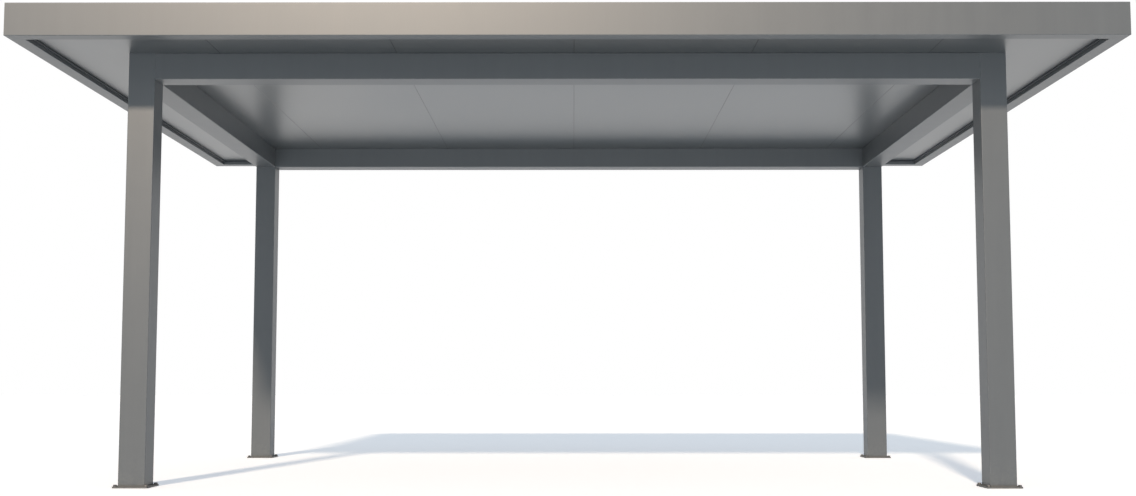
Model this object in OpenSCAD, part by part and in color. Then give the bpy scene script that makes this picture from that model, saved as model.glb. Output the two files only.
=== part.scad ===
// Flat-roof carport on four square posts.
// Origin at the centre of the footprint on the floor, +Z up, +X along the width,
// the front towards -Y. All sizes in millimetres.

/* [Frame] */
// width over the outer faces of the posts
frame_w = 5000; // [4000:10:6400]
// depth over the outer faces of the posts
frame_d = 3150; // [2400:10:4200]
// height from the floor to the underside of the beams
clear_h = 2310; // [1900:10:2800]
// side of the square post and height and width of the beams
post_s = 150; // [100:5:200]
// wall of the post and beam tubes
tube_wall = 4; // [2:0.5:8]
// outside corner radius of the post and beam tubes
tube_r = 3; // [1:0.5:6]

/* [Base plates] */
// edge of the base plate beyond the post
plate_margin = 25; // [20:1:60]
// thickness of the base plate
plate_t = 10; // [6:1:20]
// distance from a bolt hole's centre to the plate's edges
hole_edge = 14; // [12:1:20]
// radius of a bolt hole
hole_r = 7; // [5:0.5:10]

/* [Roof] */
// roof edge beyond the posts at the sides
over_side = 500; // [200:10:900]
// roof edge beyond the posts at the front and the back
over_end = 500; // [200:10:900]
// depth of a roof panel without its ribs
panel_t = 60; // [40:5:120]
// height of the ribs on a roof panel
rib_h = 38; // [20:1:60]
// width of a rib at its top
rib_top = 22; // [10:1:60]
// width of a rib at its foot
rib_foot = 60; // [30:1:100]
// number of ribs on a full panel, one fewer on the cut one
ribs = 4; // [3:1:5]
// number of panel widths across the roof, the last one cut
panel_share = 5.92; // [5.5:0.01:6]
// gap between two panels at their joint
seam_gap = 0.6; // [0.2:0.1:3]
// gap from the roof edge to the first panel's side
inset_side = 10; // [4:1:25]
// gap from the roof edge to the panels' ends
inset_end = 60; // [40:1:80]

/* [Fascia] */
// height of the fascia
fascia_h = 180; // [120:5:300]
// thickness of the fascia skin
skin = 3; // [1.5:0.5:6]
// width of the lip under the fascia
lip_w = 83.5; // [60:0.5:140]
// drop of the lip below the ceiling
lip_drop = 33; // [15:1:60]
// width of the flange that carries the panels
flange_w = 25.5; // [15:0.5:50]
// width of the cap on top of the fascia
cap_w = 60; // [30:1:100]
// drop of the cap's inner edge
cap_drop = 17; // [8:1:40]

/* [Shadow strip] */
// width of the strip in the corner between lip and ceiling
strip_w = 13.5; // [8:0.5:30]
// height of the strip
strip_h = 11; // [6:0.5:25]
// wall of the strip
strip_wall = 1.5; // [1:0.25:3]

/* [Side flashings] */
// gap between the flashing's foot and the first rib
flash_gap = 6; // [2:1:12]
// gap between the flashing's upstand and the cap
flash_top_gap = 2; // [1:1:10]
// thickness of the flashing
flash_t = 1.5; // [1:0.25:3]

/* [Drain] */
// outside radius of the drain spout
spout_r = 30; // [20:1:50]
// wall of the spout
spout_wall = 3; // [2:0.5:5]
// height of the spout above the floor
spout_z = 110; // [80:5:300]
// length of the spout behind the post
spout_len = 55; // [30:5:120]
// width of the spout's collar
collar_w = 9; // [5:1:20]
// thickness of the spout's collar
collar_t = 4; // [2:0.5:8]
// clearance of the spout in the post's wall
spout_gap = 0.3; // [0.1:0.1:1]

/* [Hidden] */
beam_top = clear_h + post_s;
roof_w = frame_w + 2 * over_side;
roof_d = frame_d + 2 * over_end;
lip_z = beam_top - lip_drop;
post_x = frame_w / 2 - post_s / 2;
post_y = frame_d / 2 - post_s / 2;
plate_s = post_s + 2 * plate_margin;
hole_pitch = plate_s - 2 * hole_edge;
panel_w = (roof_w - 2 * inset_side) / panel_share;
panel_l = roof_d - 2 * inset_end;
panel_x0 = -roof_w / 2 + inset_side;
panel_last = panel_w * (panel_share - 5);
rib_pitch = panel_w / ribs;
flash_w = inset_side + rib_pitch / 2 - rib_foot / 2 - cap_w - flash_gap;
flash_h = fascia_h - skin - lip_drop - panel_t - flash_top_gap;
mitre_cut = 200;
round_fn = 32;

module round_square(s, r) {
  square([s, s - 2 * r], center = true);
  square([s - 2 * r, s], center = true);
  for (x = [-1, 1], y = [-1, 1])
    translate([x * (s / 2 - r), y * (s / 2 - r)])
      circle(r = r, $fn = round_fn);
}

module tube(len) {
  linear_extrude(height = len)
    difference() {
      round_square(post_s, tube_r);
      square(post_s - 2 * tube_wall, center = true);
    }
}

module base_plate(sx, sy) {
  color([0.42, 0.43, 0.43])
    translate([sx * post_x, sy * post_y, 0])
      difference() {
        translate([-plate_s / 2, -plate_s / 2, 0])
          cube([plate_s, plate_s, plate_t]);
        for (x = [-1, 1], y = [-1, 1])
          translate([x * hole_pitch / 2, y * hole_pitch / 2, -1])
            cylinder(h = plate_t + 2, r = hole_r, $fn = round_fn);
      }
}

module post(sx, sy) {
  color([0.45, 0.46, 0.47])
    translate([sx * post_x, sy * post_y, plate_t])
      tube(beam_top - plate_t);
}

module post_back_left() {
  difference() {
    post(-1, 1);
    translate([-post_x, frame_d / 2 + 1, spout_z])
      rotate([90, 0, 0])
        cylinder(h = tube_wall + 2, r = spout_r + spout_gap, $fn = round_fn);
  }
}

module beam_x(sy) {
  color([0.45, 0.46, 0.47])
    translate([-frame_w / 2 + post_s, sy * post_y, clear_h + post_s / 2])
      rotate([0, 90, 0])
        tube(frame_w - 2 * post_s);
}

module beam_y(sx) {
  color([0.45, 0.46, 0.47])
    translate([sx * post_x, frame_d / 2 - post_s, clear_h + post_s / 2])
      rotate([90, 0, 0])
        tube(frame_d - 2 * post_s);
}

// fascia section: x runs inwards from the roof edge, y up from the lip
module fascia_section() {
  polygon([
    [0, 0],
    [lip_w, 0],
    [lip_w, lip_drop],
    [lip_w - flange_w, lip_drop],
    [lip_w - flange_w, lip_drop - skin],
    [lip_w - skin, lip_drop - skin],
    [lip_w - skin, skin],
    [skin, skin],
    [skin, fascia_h - skin],
    [cap_w - skin, fascia_h - skin],
    [cap_w - skin, fascia_h - cap_drop],
    [cap_w, fascia_h - cap_drop],
    [cap_w, fascia_h],
    [0, fascia_h]
  ]);
}

// strip section in the same frame as the fascia section
module strip_section() {
  translate([lip_w, lip_drop - strip_h])
    difference() {
      square([strip_w, strip_h]);
      translate([strip_wall, strip_wall])
        square([strip_w - 2 * strip_wall, strip_h - 2 * strip_wall]);
    }
}

// a section run along the front edge (length l, edge at -d / 2) with mitred ends
module mitred_run(l, d) {
  difference() {
    translate([-l / 2, -d / 2, lip_z])
      rotate([90, 0, 90])
        linear_extrude(height = l)
          children();
    for (m = [0, 1])
      mirror([m, 0, 0])
        translate([-l / 2, -d / 2, lip_z - 5])
          rotate([0, 0, 45])
            translate([-mitre_cut, 0, 0])
              cube([3 * mitre_cut, mitre_cut, fascia_h + 10]);
  }
}

module fascia(side) {
  color([0.5, 0.48, 0.46]) {
    if (side == "front") mitred_run(roof_w, roof_d) fascia_section();
    if (side == "back") rotate([0, 0, 180]) mitred_run(roof_w, roof_d) fascia_section();
    if (side == "left") rotate([0, 0, -90]) mitred_run(roof_d, roof_w) fascia_section();
    if (side == "right") rotate([0, 0, 90]) mitred_run(roof_d, roof_w) fascia_section();
  }
}

module shadow_strip(side) {
  color([0.3, 0.31, 0.32]) {
    if (side == "front") mitred_run(roof_w, roof_d) strip_section();
    if (side == "back") rotate([0, 0, 180]) mitred_run(roof_w, roof_d) strip_section();
    if (side == "left") rotate([0, 0, -90]) mitred_run(roof_d, roof_w) strip_section();
    if (side == "right") rotate([0, 0, 90]) mitred_run(roof_d, roof_w) strip_section();
  }
}

// one roof panel of width w with n ribs, its left side at x = 0
module panel_section(w, n) {
  square([w, panel_t]);
  for (i = [0 : n - 1])
    translate([rib_pitch * (i + 0.5), panel_t])
      polygon([
        [-rib_foot / 2, -1],
        [rib_foot / 2, -1],
        [rib_foot / 2, 0],
        [rib_top / 2, rib_h],
        [-rib_top / 2, rib_h],
        [-rib_foot / 2, 0]
      ]);
}

module roof_panel(i) {
  w = i < 5 ? panel_w - seam_gap : panel_last;
  color([0.62, 0.63, 0.64])
    translate([panel_x0 + i * panel_w, panel_l / 2, beam_top])
      rotate([90, 0, 0])
        linear_extrude(height = panel_l)
          panel_section(w, i < 5 ? ribs : ribs - 1);
}

// upstand behind the cap's edge with a foot on the outer panel
module side_flashing(sx) {
  x0 = roof_w / 2 - cap_w;
  color([0.5, 0.5, 0.5])
    mirror([sx > 0 ? 0 : 1, 0, 0]) {
      translate([x0 - flash_t, -panel_l / 2, beam_top + panel_t])
        cube([flash_t, panel_l, flash_h]);
      translate([x0 - flash_w, -panel_l / 2, beam_top + panel_t])
        cube([flash_w, panel_l, flash_t]);
    }
}

// spout through the post's back wall, seated by its collar
module drain_spout() {
  color([0.4, 0.41, 0.42])
    translate([-post_x, frame_d / 2, spout_z])
      rotate([-90, 0, 0])
        difference() {
          union() {
            translate([0, 0, -tube_wall])
              cylinder(h = spout_len + tube_wall, r = spout_r, $fn = round_fn);
            cylinder(h = collar_t, r = spout_r + collar_w, $fn = round_fn);
          }
          translate([0, 0, -tube_wall - 1])
            cylinder(h = spout_len + tube_wall + 2, r = spout_r - spout_wall, $fn = round_fn);
        }
}

base_plate(-1, -1);  // base_plate_front_left
base_plate(1, -1);  // base_plate_front_right
base_plate(-1, 1);  // base_plate_back_left
base_plate(1, 1);  // base_plate_back_right
post(-1, -1);  // post_front_left
post(1, -1);  // post_front_right
post_back_left();
post(1, 1);  // post_back_right
beam_x(-1);  // beam_front
beam_x(1);  // beam_back
beam_y(-1);  // beam_left
beam_y(1);  // beam_right
fascia("front");  // fascia_front
fascia("back");  // fascia_back
fascia("left");  // fascia_left
fascia("right");  // fascia_right
shadow_strip("front");  // shadow_strip_front
shadow_strip("back");  // shadow_strip_back
shadow_strip("left");  // shadow_strip_left
shadow_strip("right");  // shadow_strip_right
roof_panel(0);  // roof_panel_1
roof_panel(1);  // roof_panel_2
roof_panel(2);  // roof_panel_3
roof_panel(3);  // roof_panel_4
roof_panel(4);  // roof_panel_5
roof_panel(5);  // roof_panel_6
side_flashing(-1);  // side_flashing_left
side_flashing(1);  // side_flashing_right
drain_spout();
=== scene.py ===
"""Flat-roof carport: the coated pieces, their fixings, the finishes, the light and the camera.

Everything is in metres, with the floor at z = 0 and the front of the carport towards -Y."""

import math

import bpy
import numpy as np
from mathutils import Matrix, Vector


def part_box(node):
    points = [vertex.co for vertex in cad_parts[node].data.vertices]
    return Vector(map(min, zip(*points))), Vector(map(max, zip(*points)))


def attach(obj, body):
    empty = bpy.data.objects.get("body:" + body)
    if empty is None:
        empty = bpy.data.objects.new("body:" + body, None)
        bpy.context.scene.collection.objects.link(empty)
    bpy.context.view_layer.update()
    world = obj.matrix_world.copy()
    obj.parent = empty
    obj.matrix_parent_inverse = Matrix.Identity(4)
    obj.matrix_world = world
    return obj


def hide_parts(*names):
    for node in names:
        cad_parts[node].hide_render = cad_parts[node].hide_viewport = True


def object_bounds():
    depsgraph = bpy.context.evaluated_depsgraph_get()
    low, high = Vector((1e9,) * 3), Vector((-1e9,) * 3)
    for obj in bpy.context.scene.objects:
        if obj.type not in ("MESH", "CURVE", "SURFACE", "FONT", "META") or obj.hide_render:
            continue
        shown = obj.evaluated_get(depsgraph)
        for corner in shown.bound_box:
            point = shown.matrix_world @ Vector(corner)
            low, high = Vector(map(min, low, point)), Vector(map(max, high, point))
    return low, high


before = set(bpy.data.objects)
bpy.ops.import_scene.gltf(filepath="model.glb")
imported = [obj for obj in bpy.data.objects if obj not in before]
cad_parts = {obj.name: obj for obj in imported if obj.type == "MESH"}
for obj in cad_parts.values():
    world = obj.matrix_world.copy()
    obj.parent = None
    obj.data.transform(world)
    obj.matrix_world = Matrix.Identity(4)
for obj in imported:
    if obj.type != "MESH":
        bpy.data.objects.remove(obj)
cad_lo, cad_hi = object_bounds()

# ---------------------------------------- sizes
CORNERS = ("front_left", "front_right", "back_left", "back_right")
SIDES = ("front", "back", "left", "right")
X_AXIS = np.array([1.0, 0.0, 0.0])
Y_AXIS = np.array([0.0, 1.0, 0.0])
Z_AXIS = np.array([0.0, 0.0, 1.0])
BACK_TO_FRONT = (X_AXIS, Z_AXIS, -Y_AXIS)

FLAT_BAND = 0.002  # width of the flat band kept beside every rounded edge
JOINT = 0.0004  # bevel that draws the hairline where two pieces butt
BAND_SHARE = 0.3  # most of a short flat that one band may take
SHARP_ANGLE = 38.0  # degrees between faces from which the shading breaks
TUBE_RADIUS = 0.003
TUBE_BORE_RADIUS = 0.001
TUBE_WALL = 0.004

PLATE_CORNER = 0.005
PLATE_BEVEL = 0.0012
HOLE_EDGE = 0.014

WELD_LEG = 0.0045
WELD_RIPPLE = 0.0036
WELD_STATIONS = 900
WELD_COLUMNS = 8
WELD_OVERRUN = 0.15  # how far the bead's arc runs past both faces, in quarter turns
WELD_LAG = 1.2  # how far the ripples curve, in ripples
WELD_SWELL = 0.07
WELD_HEEL = 0.001  # how far the bead's back sits inside the steel

WASHER_T = 0.0022
WASHER_PROFILE = [(0.0114, 0), (0.0118, 0.0004), (0.0118, 0.0017), (0.0113, WASHER_T), (0.008, WASHER_T)]
HEAD_FLAT = 0.0092
HEAD_H = 0.0076
HEAD_DISH = 0.0004
HEAD_FACE = 0.93  # the face circle's share of the width across flats
HEAD_MID = 0.6
HEAD_TIP = 0.1
CORNER_WAYS = [(-1, -1), (1, -1), (1, 1), (-1, 1)]
BOLT_FIRST_TURN = 11.0  # degrees
BOLT_NEXT_TURN = 23.0

SKIN = 0.003
LIP_W = 0.0835
LIP_DROP = 0.033
FLANGE_W = 0.0255
CAP_W = 0.060
CAP_DROP = 0.017
FASCIA_H = 0.180
BEND_OUT = 0.0028
BEND_IN = 0.0008
SHEET_END = 0.0008
MITRE_JOINT = 0.0006

STRIP_W = 0.0135
STRIP_H = 0.011
STRIP_RADIUS = 0.001

PANEL_T = 0.060
RIB_H = 0.038
RIB_TOP = 0.022
RIB_FOOT = 0.060
RIB_PITCH = 0.252534
PANEL_SIDE_RADIUS = 0.0013
RIB_BEND = 0.004
JOINT_STRIP_LOW = 0.0012
JOINT_STRIP_OVERLAP = 0.0004
JOINT_STRIP_RADIUS = 0.0005
SWAGE_W = 0.018
SWAGE_TOP = 0.007
SWAGE_H = 0.0018
SWAGE_PLACE = 0.036

PANEL_COUNT = 6

SCREW_FLAT = 0.004
SCREW_HEAD_H = 0.0048
SCREW_SEAT = 0.0024
SCREW_WASHER_PROFILE = [(0.008, 0), (0.008, 0.0012), (0.005, 0.0026)]
SCREW_SIDES = 12
RIVET_R = 0.0042
RIVET_H = 0.0016
RIVET_PROFILE = [
    (RIVET_R, -0.0005),
    (RIVET_R, 0.0003),
    (0.8 * RIVET_R, 0.7 * RIVET_H),
    (0.3 * RIVET_R, RIVET_H),
]
RIVET_PITCH = 0.31
RIVET_FIRST = 0.12
RIVET_LAST = 0.10
RIVET_PLACE = 0.35  # of the flashing's foot, from its inner edge
FOLD_T = 0.0015
FOLD_HEM = 0.009
FOLD_HEM_OUT = 2.2  # of the sheet's thickness
FOLD_OUT = 0.0012
FOLD_END = 0.0005
FOLD_NOOK = 0.0002

SPOUT_R = 0.030
SPOUT_BORE = 0.027
SPOUT_SIDES = 48
SPOUT_MOUTH = np.array([0.0012, 0.0004, 0.0])  # how far the mouth's rounding takes the wall in
SPOUT_STATIONS = np.array([0.0, 0.0006, 0.0015, 0.010])
BEND_R = 0.050
BEND_INSIDE = 0.010
BEND_STEPS = 14
RISE_STEPS = np.array([0.05, 0.12])
COLLAR_R = 0.039
COLLAR_T = 0.004
COLLAR_SIDES = 64
COLLAR_PROFILE = [
    (SPOUT_R - 0.0005, 0.0),
    (COLLAR_R, 0.0),
    (COLLAR_R, COLLAR_T - 0.0012),
    (COLLAR_R - 0.0004, COLLAR_T - 0.0004),
    (COLLAR_R - 0.0012, COLLAR_T),
    (SPOUT_R + 0.0022, COLLAR_T),
    (SPOUT_R + 0.0008, COLLAR_T + 0.0008),
    (SPOUT_R, COLLAR_T + 0.0024),
    (SPOUT_R - 0.0005, COLLAR_T + 0.0024),
]
COLLAR_SCREW_RING = 0.0347
COLLAR_SCREW_WAYS = [90, 210, 330]
COLLAR_SCREW_PROFILE = [(0.0030, 0), (0.0030, 0.0006), (0.0022, 0.0016), (0.0008, 0.0019)]
COLLAR_SCREW_SIDES = 14

OUTLET_R = 0.040
OUTLET_H = 0.034
OUTLET_BARS = 14
OUTLET_ASIDE = 0.012  # off the middle of its pan, clear of the swages
OUTLET_RING_SIDES = 56
OUTLET_RING_PROFILE = [
    (OUTLET_R + 0.0045, 0.0),
    (OUTLET_R + 0.0045, 0.002),
    (OUTLET_R + 0.0035, 0.003),
    (OUTLET_R - 0.012, 0.003),
    (OUTLET_R - 0.013, 0.002),
    (OUTLET_R - 0.013, 0.0),
]
OUTLET_CAP_PROFILE = [(0.007, -0.001), (0.009, 0.0), (0.008, 0.0015), (0.003, 0.0025)]
OUTLET_CAP_LIFT = 0.0015
OUTLET_CAP_SIDES = 24
BAR_FOOT_IN = 0.006
BAR_FOOT_Z = 0.002
BAR_HALF_W = 0.0011
BAR_HALF_T = 0.0014
BAR_STEPS = 9
BAR_REACH = 80.0  # degrees of the quarter ellipse that a bar covers


# ---------------------------------------- surfaces
def rounded_outline(corners, radii, steps=4):
    """A closed outline, counter-clockwise, whose every corner is an arc.

    At a corner with unit directions a and b towards its neighbours and half the angle between
    them h, the arc of radius r touches both sides r / tan(h) from the corner, and its centre is
    r / sin(h) away along the bisector. One point more on each side, a flat band's width on,
    keeps the flats flat. Gives the points and their edge value: 1 on the arcs and 0 past them.
    The edge value marks rubbed wear on coated pieces and painted shade on roof panels."""
    corners = np.asarray(corners, float)
    radii = np.broadcast_to(np.asarray(radii, float), len(corners))
    back = np.roll(corners, 1, 0) - corners
    ahead = np.roll(corners, -1, 0) - corners
    back_len = np.linalg.norm(back, axis=1)
    ahead_len = np.linalg.norm(ahead, axis=1)
    back /= back_len[:, None]
    ahead /= ahead_len[:, None]
    half = np.arccos(np.clip((back * ahead).sum(1), -1, 1)) / 2
    reach = radii / np.tan(half)
    bisector = back + ahead
    bisector /= np.linalg.norm(bisector, axis=1)[:, None]
    centre = corners + bisector * (radii / np.sin(half))[:, None]
    first = corners + back * reach[:, None] - centre
    last = corners + ahead * reach[:, None] - centre
    angle = np.arctan2(first[:, 1], first[:, 0])
    turn = (np.arctan2(last[:, 1], last[:, 0]) - angle + np.pi) % (2 * np.pi) - np.pi
    angles = angle[:, None] + turn[:, None] * np.linspace(0, 1, steps + 1)
    arc = centre[:, None] + radii[:, None, None] * np.stack([np.cos(angles), np.sin(angles)], -1)
    back_band = np.minimum(FLAT_BAND, BAND_SHARE * (back_len - reach - np.roll(reach, 1)))
    ahead_band = np.minimum(FLAT_BAND, BAND_SHARE * (ahead_len - reach - np.roll(reach, -1)))
    before = corners + back * (reach + back_band)[:, None]
    after = corners + ahead * (reach + ahead_band)[:, None]
    points = np.concatenate([before[:, None], arc, after[:, None]], 1).reshape(-1, 2)
    wear_and_shade = np.tile([0.0] + [1.0] * (steps + 1) + [0.0], len(corners))
    return points, wear_and_shade


def rounded_square(half, corner, steps):
    """The rounded outline of a square about the origin."""
    return rounded_outline(np.array(CORNER_WAYS, float) * half, corner, steps)


def inset(outline, depth):
    """The outline with each point moved inwards, square to the chord between its neighbours."""
    chord = np.roll(outline, -1, 0) - np.roll(outline, 1, 0)
    inwards = np.stack([-chord[:, 1], chord[:, 0]], -1)
    return outline + depth * inwards / np.linalg.norm(inwards, axis=1)[:, None]


def grid(points, wear_and_shade, along=False):
    """A surface from a grid of points (rows, columns), closed around, and along where asked."""
    rows, columns = points.shape[:2]
    ids = np.arange(rows * columns).reshape(rows, columns)
    ids = np.concatenate([ids, ids[:, :1]], 1)
    if along:
        ids = np.concatenate([ids, ids[:1]], 0)
    quads = np.stack([ids[:-1, :-1], ids[:-1, 1:], ids[1:, 1:], ids[1:, :-1]], -1)
    wear_and_shade = np.broadcast_to(wear_and_shade, (rows, columns))
    return points.reshape(-1, 3), quads.reshape(-1, 4), [], wear_and_shade.reshape(-1)


def solid(points, wear_and_shade):
    """A grid closed around, its first and last rows closed by flat lids that face outwards."""
    columns = points.shape[1]
    corners, quads, _, wear_and_shade = grid(points, wear_and_shade)
    ids = np.arange(len(corners))
    lids = [ids[:columns][::-1].tolist(), ids[-columns:].tolist()]
    return corners, quads, lids, wear_and_shade


def joined(*surfaces):
    """Several surfaces as one, each one's corner numbers raised past those before it."""
    offsets = np.cumsum([0] + [len(s[0]) for s in surfaces])
    points = np.concatenate([s[0] for s in surfaces])
    quads = np.concatenate([s[1] + o for s, o in zip(surfaces, offsets)])
    lids = [[i + int(o) for i in lid] for s, o in zip(surfaces, offsets) for lid in s[2]]
    wear_and_shade = np.concatenate([s[3] for s in surfaces])
    return points, quads, lids, wear_and_shade


def moved(surface, shift=(0, 0, 0), turn=None):
    """The surface turned by a 3 x 3 matrix and then shifted."""
    points, quads, lids, wear_and_shade = surface
    if turn is not None:
        points = points @ np.asarray(turn).T
    return points + np.asarray(shift, float), quads, lids, wear_and_shade


def repeated(surface, shifts):
    """One copy of the surface at each shift, as whole arrays."""
    points, quads, lids, wear_and_shade = surface
    shifts = np.asarray(shifts, float)
    count = len(shifts)
    steps = np.arange(count) * len(points)
    many_points = (points[None] + shifts[:, None]).reshape(-1, 3)
    many_quads = (quads[None] + steps[:, None, None]).reshape(-1, 4)
    many_lids = [lid for base in lids for lid in (np.array(base) + steps[:, None]).tolist()]
    return many_points, many_quads, many_lids, np.tile(wear_and_shade, count)


def quarter_turns(count):
    """The matrix that turns by quarter turns about the Z axis, with whole numbers only."""
    cos = (1, 0, -1, 0)[count % 4]
    sin = (0, 1, 0, -1)[count % 4]
    return np.array([[cos, -sin, 0], [sin, cos, 0], [0, 0, 1]], float)


def carried(sections, stations, axes):
    """Sections (rows, columns, 2) carried along a line: point = across u + up v + along s."""
    across, up, along = axes
    u = sections[..., :1]
    v = sections[..., 1:]
    return u * across + v * up + stations[..., None] * along


def spun(angle):
    """The matrix that turns by an angle about the Z axis."""
    cos = math.cos(angle)
    sin = math.sin(angle)
    return [[cos, -sin, 0], [sin, cos, 0], [0, 0, 1]]


def revolved(profile, columns):
    """Points (r cos a, r sin a, h) for each (r, h) of a profile and each angle a about the Z axis."""
    profile = np.asarray(profile, float)
    angle = np.arange(columns) * 2 * np.pi / columns
    ring = np.stack([np.cos(angle), np.sin(angle)], -1)
    flat = profile[:, :1, None] * ring[None]
    height = np.broadcast_to(profile[:, 1:, None], flat[..., :1].shape)
    return np.concatenate([flat, height], -1)


def turned(profile, columns, wear_and_shade=0.0):
    """A profile of (radius, height) pairs turned about the Z axis, lidded at both ends."""
    return solid(revolved(profile, columns), wear_and_shade)


def hoop(profile, columns, wear_and_shade):
    """A profile that closes on itself, turned about the Z axis."""
    return grid(revolved(profile, columns), wear_and_shade, along=True)


def end_stations(start, end):
    """Stations along a run: a small bevel at the start, its flat band, and the same at the end."""
    first = [start, start + JOINT, start + JOINT + FLAT_BAND]
    return first + [end - JOINT - FLAT_BAND, end - JOINT, end]


def run_wear_and_shade(wear_and_shade):
    """The edge value of a run's six rows: an outline's own, and full value on the end bevels. It marks
    rubbed wear, and painted shade on roof panels.
    """
    return np.maximum(np.array([1, 1, 0, 0, 1, 1], float)[:, None], wear_and_shade[None])


def tube(outer, bore, wear_and_shade, start, end, axes):
    """A hollow tube: the outer outline with bevelled ends, and the bore back through it.

    The rows run from the start bevel along the outside to the end bevel and return inside,
    closed on themselves, so the tube has no open edge."""
    small = inset(outer, JOINT)
    sections = np.stack([small, outer, outer, outer, outer, small, bore, bore])
    stations = np.array(end_stations(start, end) + [end, start])[:, None] * np.ones(len(outer))
    worn = np.concatenate([run_wear_and_shade(wear_and_shade), np.zeros((2, len(wear_and_shade)))])
    return grid(carried(sections, stations, axes), worn, along=True)


def mitred_run(outline, wear_and_shade, length):
    """A solid section run along +X with its ends mitred at 45 degrees.

    The section's u runs inwards from the roof edge, so the run starts at -length / 2 + u and
    ends at length / 2 - u. A small bevel at each end draws the joint line of the mitre."""
    small = inset(outline, MITRE_JOINT)
    sections = np.stack([small, outline, outline, outline, outline, small])
    back_off = np.array([0, MITRE_JOINT, MITRE_JOINT + FLAT_BAND])
    starts = -length / 2 + sections[:3, :, 0] + back_off[:, None]
    ends = length / 2 - sections[3:, :, 0] - back_off[::-1, None]
    stations = np.concatenate([starts, ends])
    return solid(carried(sections, stations, (Y_AXIS, Z_AXIS, X_AXIS)), run_wear_and_shade(wear_and_shade))


def solid_run(outline, wear_and_shade, start, end, axes):
    """A solid section run straight between two square ends, each with a small bevel."""
    small = inset(outline, JOINT)
    sections = np.stack([small, outline, outline, outline, outline, small])
    stations = np.array(end_stations(start, end))[:, None] * np.ones(len(outline))
    return solid(carried(sections, stations, axes), run_wear_and_shade(wear_and_shade))


def slab(size, height, corner, bevel):
    """A square slab with rounded corners: its outline rises through a bevel at foot and top."""
    outline, _ = rounded_square(size / 2, corner, 6)
    small = inset(outline, bevel)
    sections = np.stack([small, outline, outline, small, inset(outline, bevel + FLAT_BAND)])
    heights = np.array([0, bevel, height - bevel, height, height])
    stations = heights[:, None] * np.ones(len(outline))
    wear_and_shade = np.array([0.4, 1, 1, 1, 0])[:, None]
    return solid(carried(sections, stations, (X_AXIS, Y_AXIS, Z_AXIS)), wear_and_shade)


def hex_head(flat, height, columns, dish=0.0):
    """A hexagon head whose top edge is cut by a 30 degree cone.

    The side stands at flat / cos(a), with a the angle from the middle of the nearest flat, and
    stops where the cone meets it: height - (side - face circle) * tan(30)."""
    angle = np.arange(columns) * 2 * np.pi / columns
    off = (angle + np.pi / 6) % (np.pi / 3) - np.pi / 6
    side = flat / np.cos(off)
    circle = HEAD_FACE * flat * np.ones(columns)
    radii = np.stack([side, side, circle, HEAD_MID * circle, HEAD_TIP * circle])
    cut = height - (side - circle) * math.tan(math.pi / 6)
    level = np.ones(columns)
    heights = np.stack([0 * level, cut, height * level, (height - dish) * level])
    heights = np.concatenate([heights, heights[3:]])
    points = np.stack([radii * np.cos(angle), radii * np.sin(angle), heights], -1)
    wear_and_shade = np.array([0, 1, 1, 0, 0], float)[:, None]
    return solid(points, wear_and_shade)


def placed(name, data):
    """A new object in the scene."""
    made = bpy.data.objects.new(name, data)
    bpy.context.scene.collection.objects.link(made)
    return made


def piece(name, surface, material, stands_for=()):
    """Puts a surface into the scene as one piece that rides on the frame."""
    points, quads, lids, wear_and_shade = surface
    mesh = bpy.data.meshes.new(name)
    mesh.from_pydata(points.tolist(), [], quads.tolist() + lids)
    mesh.attributes.new("wear_and_shade", "FLOAT", "POINT").data.foreach_set("value", wear_and_shade)
    mesh.shade_smooth()
    mesh.set_sharp_from_angle(angle=math.radians(SHARP_ANGLE))
    mesh.materials.append(material)
    made = placed(name, mesh)
    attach(made, "root")
    if stands_for:
        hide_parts(*stands_for)


# ---------------------------------------- finishes
def add_node(tree, kind, **settings):
    """A new node with some of its settings."""
    made = tree.nodes.new(kind)
    for key, value in settings.items():
        setattr(made, key, value)
    return made


def feed(tree, socket, value):
    """Links an output socket to an input, or sets the input's own value."""
    if isinstance(value, bpy.types.NodeSocket):
        tree.links.new(value, socket)
    else:
        socket.default_value = value


def calculate(tree, operation, *values):
    """A Math node on one to three values."""
    made = add_node(tree, "ShaderNodeMath", operation=operation)
    for socket, value in zip(made.inputs, values):
        feed(tree, socket, value)
    return made.outputs[0]


def times(tree, first, second):
    """Two values multiplied."""
    return calculate(tree, "MULTIPLY", first, second)


def blended(tree, factor, first, second):
    """A Mix node set to colour."""
    made = add_node(tree, "ShaderNodeMix", data_type="RGBA")
    colours = [socket for socket in made.inputs if socket.type == "RGBA"]
    feed(tree, made.inputs["Factor"], factor)
    feed(tree, colours[0], first)
    feed(tree, colours[1], second)
    return next(socket for socket in made.outputs if socket.type == "RGBA")


def brightened(tree, colour, gain):
    """A colour times a value."""
    made = add_node(tree, "ShaderNodeVectorMath", operation="SCALE")
    feed(tree, made.inputs[0], colour)
    feed(tree, made.inputs["Scale"], gain)
    return made.outputs[0]


def spread(tree, value, amount):
    """A value of 0 to 1 moved to lie about 0 and made as wide as the amount."""
    return times(tree, calculate(tree, "SUBTRACT", value, 0.5), amount)


def averaged(tree, first, share, second):
    """Two values mixed, with the share of the first."""
    rest = times(tree, second, 1.0 - share)
    return calculate(tree, "MULTIPLY_ADD", first, share, rest)


def noise(tree, vector, scale, detail, rough):
    """A Noise texture's value."""
    made = add_node(tree, "ShaderNodeTexNoise")
    feed(tree, made.inputs["Vector"], vector)
    feed(tree, made.inputs["Scale"], scale)
    feed(tree, made.inputs["Detail"], detail)
    feed(tree, made.inputs["Roughness"], rough)
    return made.outputs["Fac"]


def stretched(tree, vector, scale):
    """The coordinates scaled differently along each axis."""
    made = add_node(tree, "ShaderNodeMapping")
    feed(tree, made.inputs["Vector"], vector)
    feed(tree, made.inputs["Scale"], scale)
    return made.outputs["Vector"]


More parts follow.
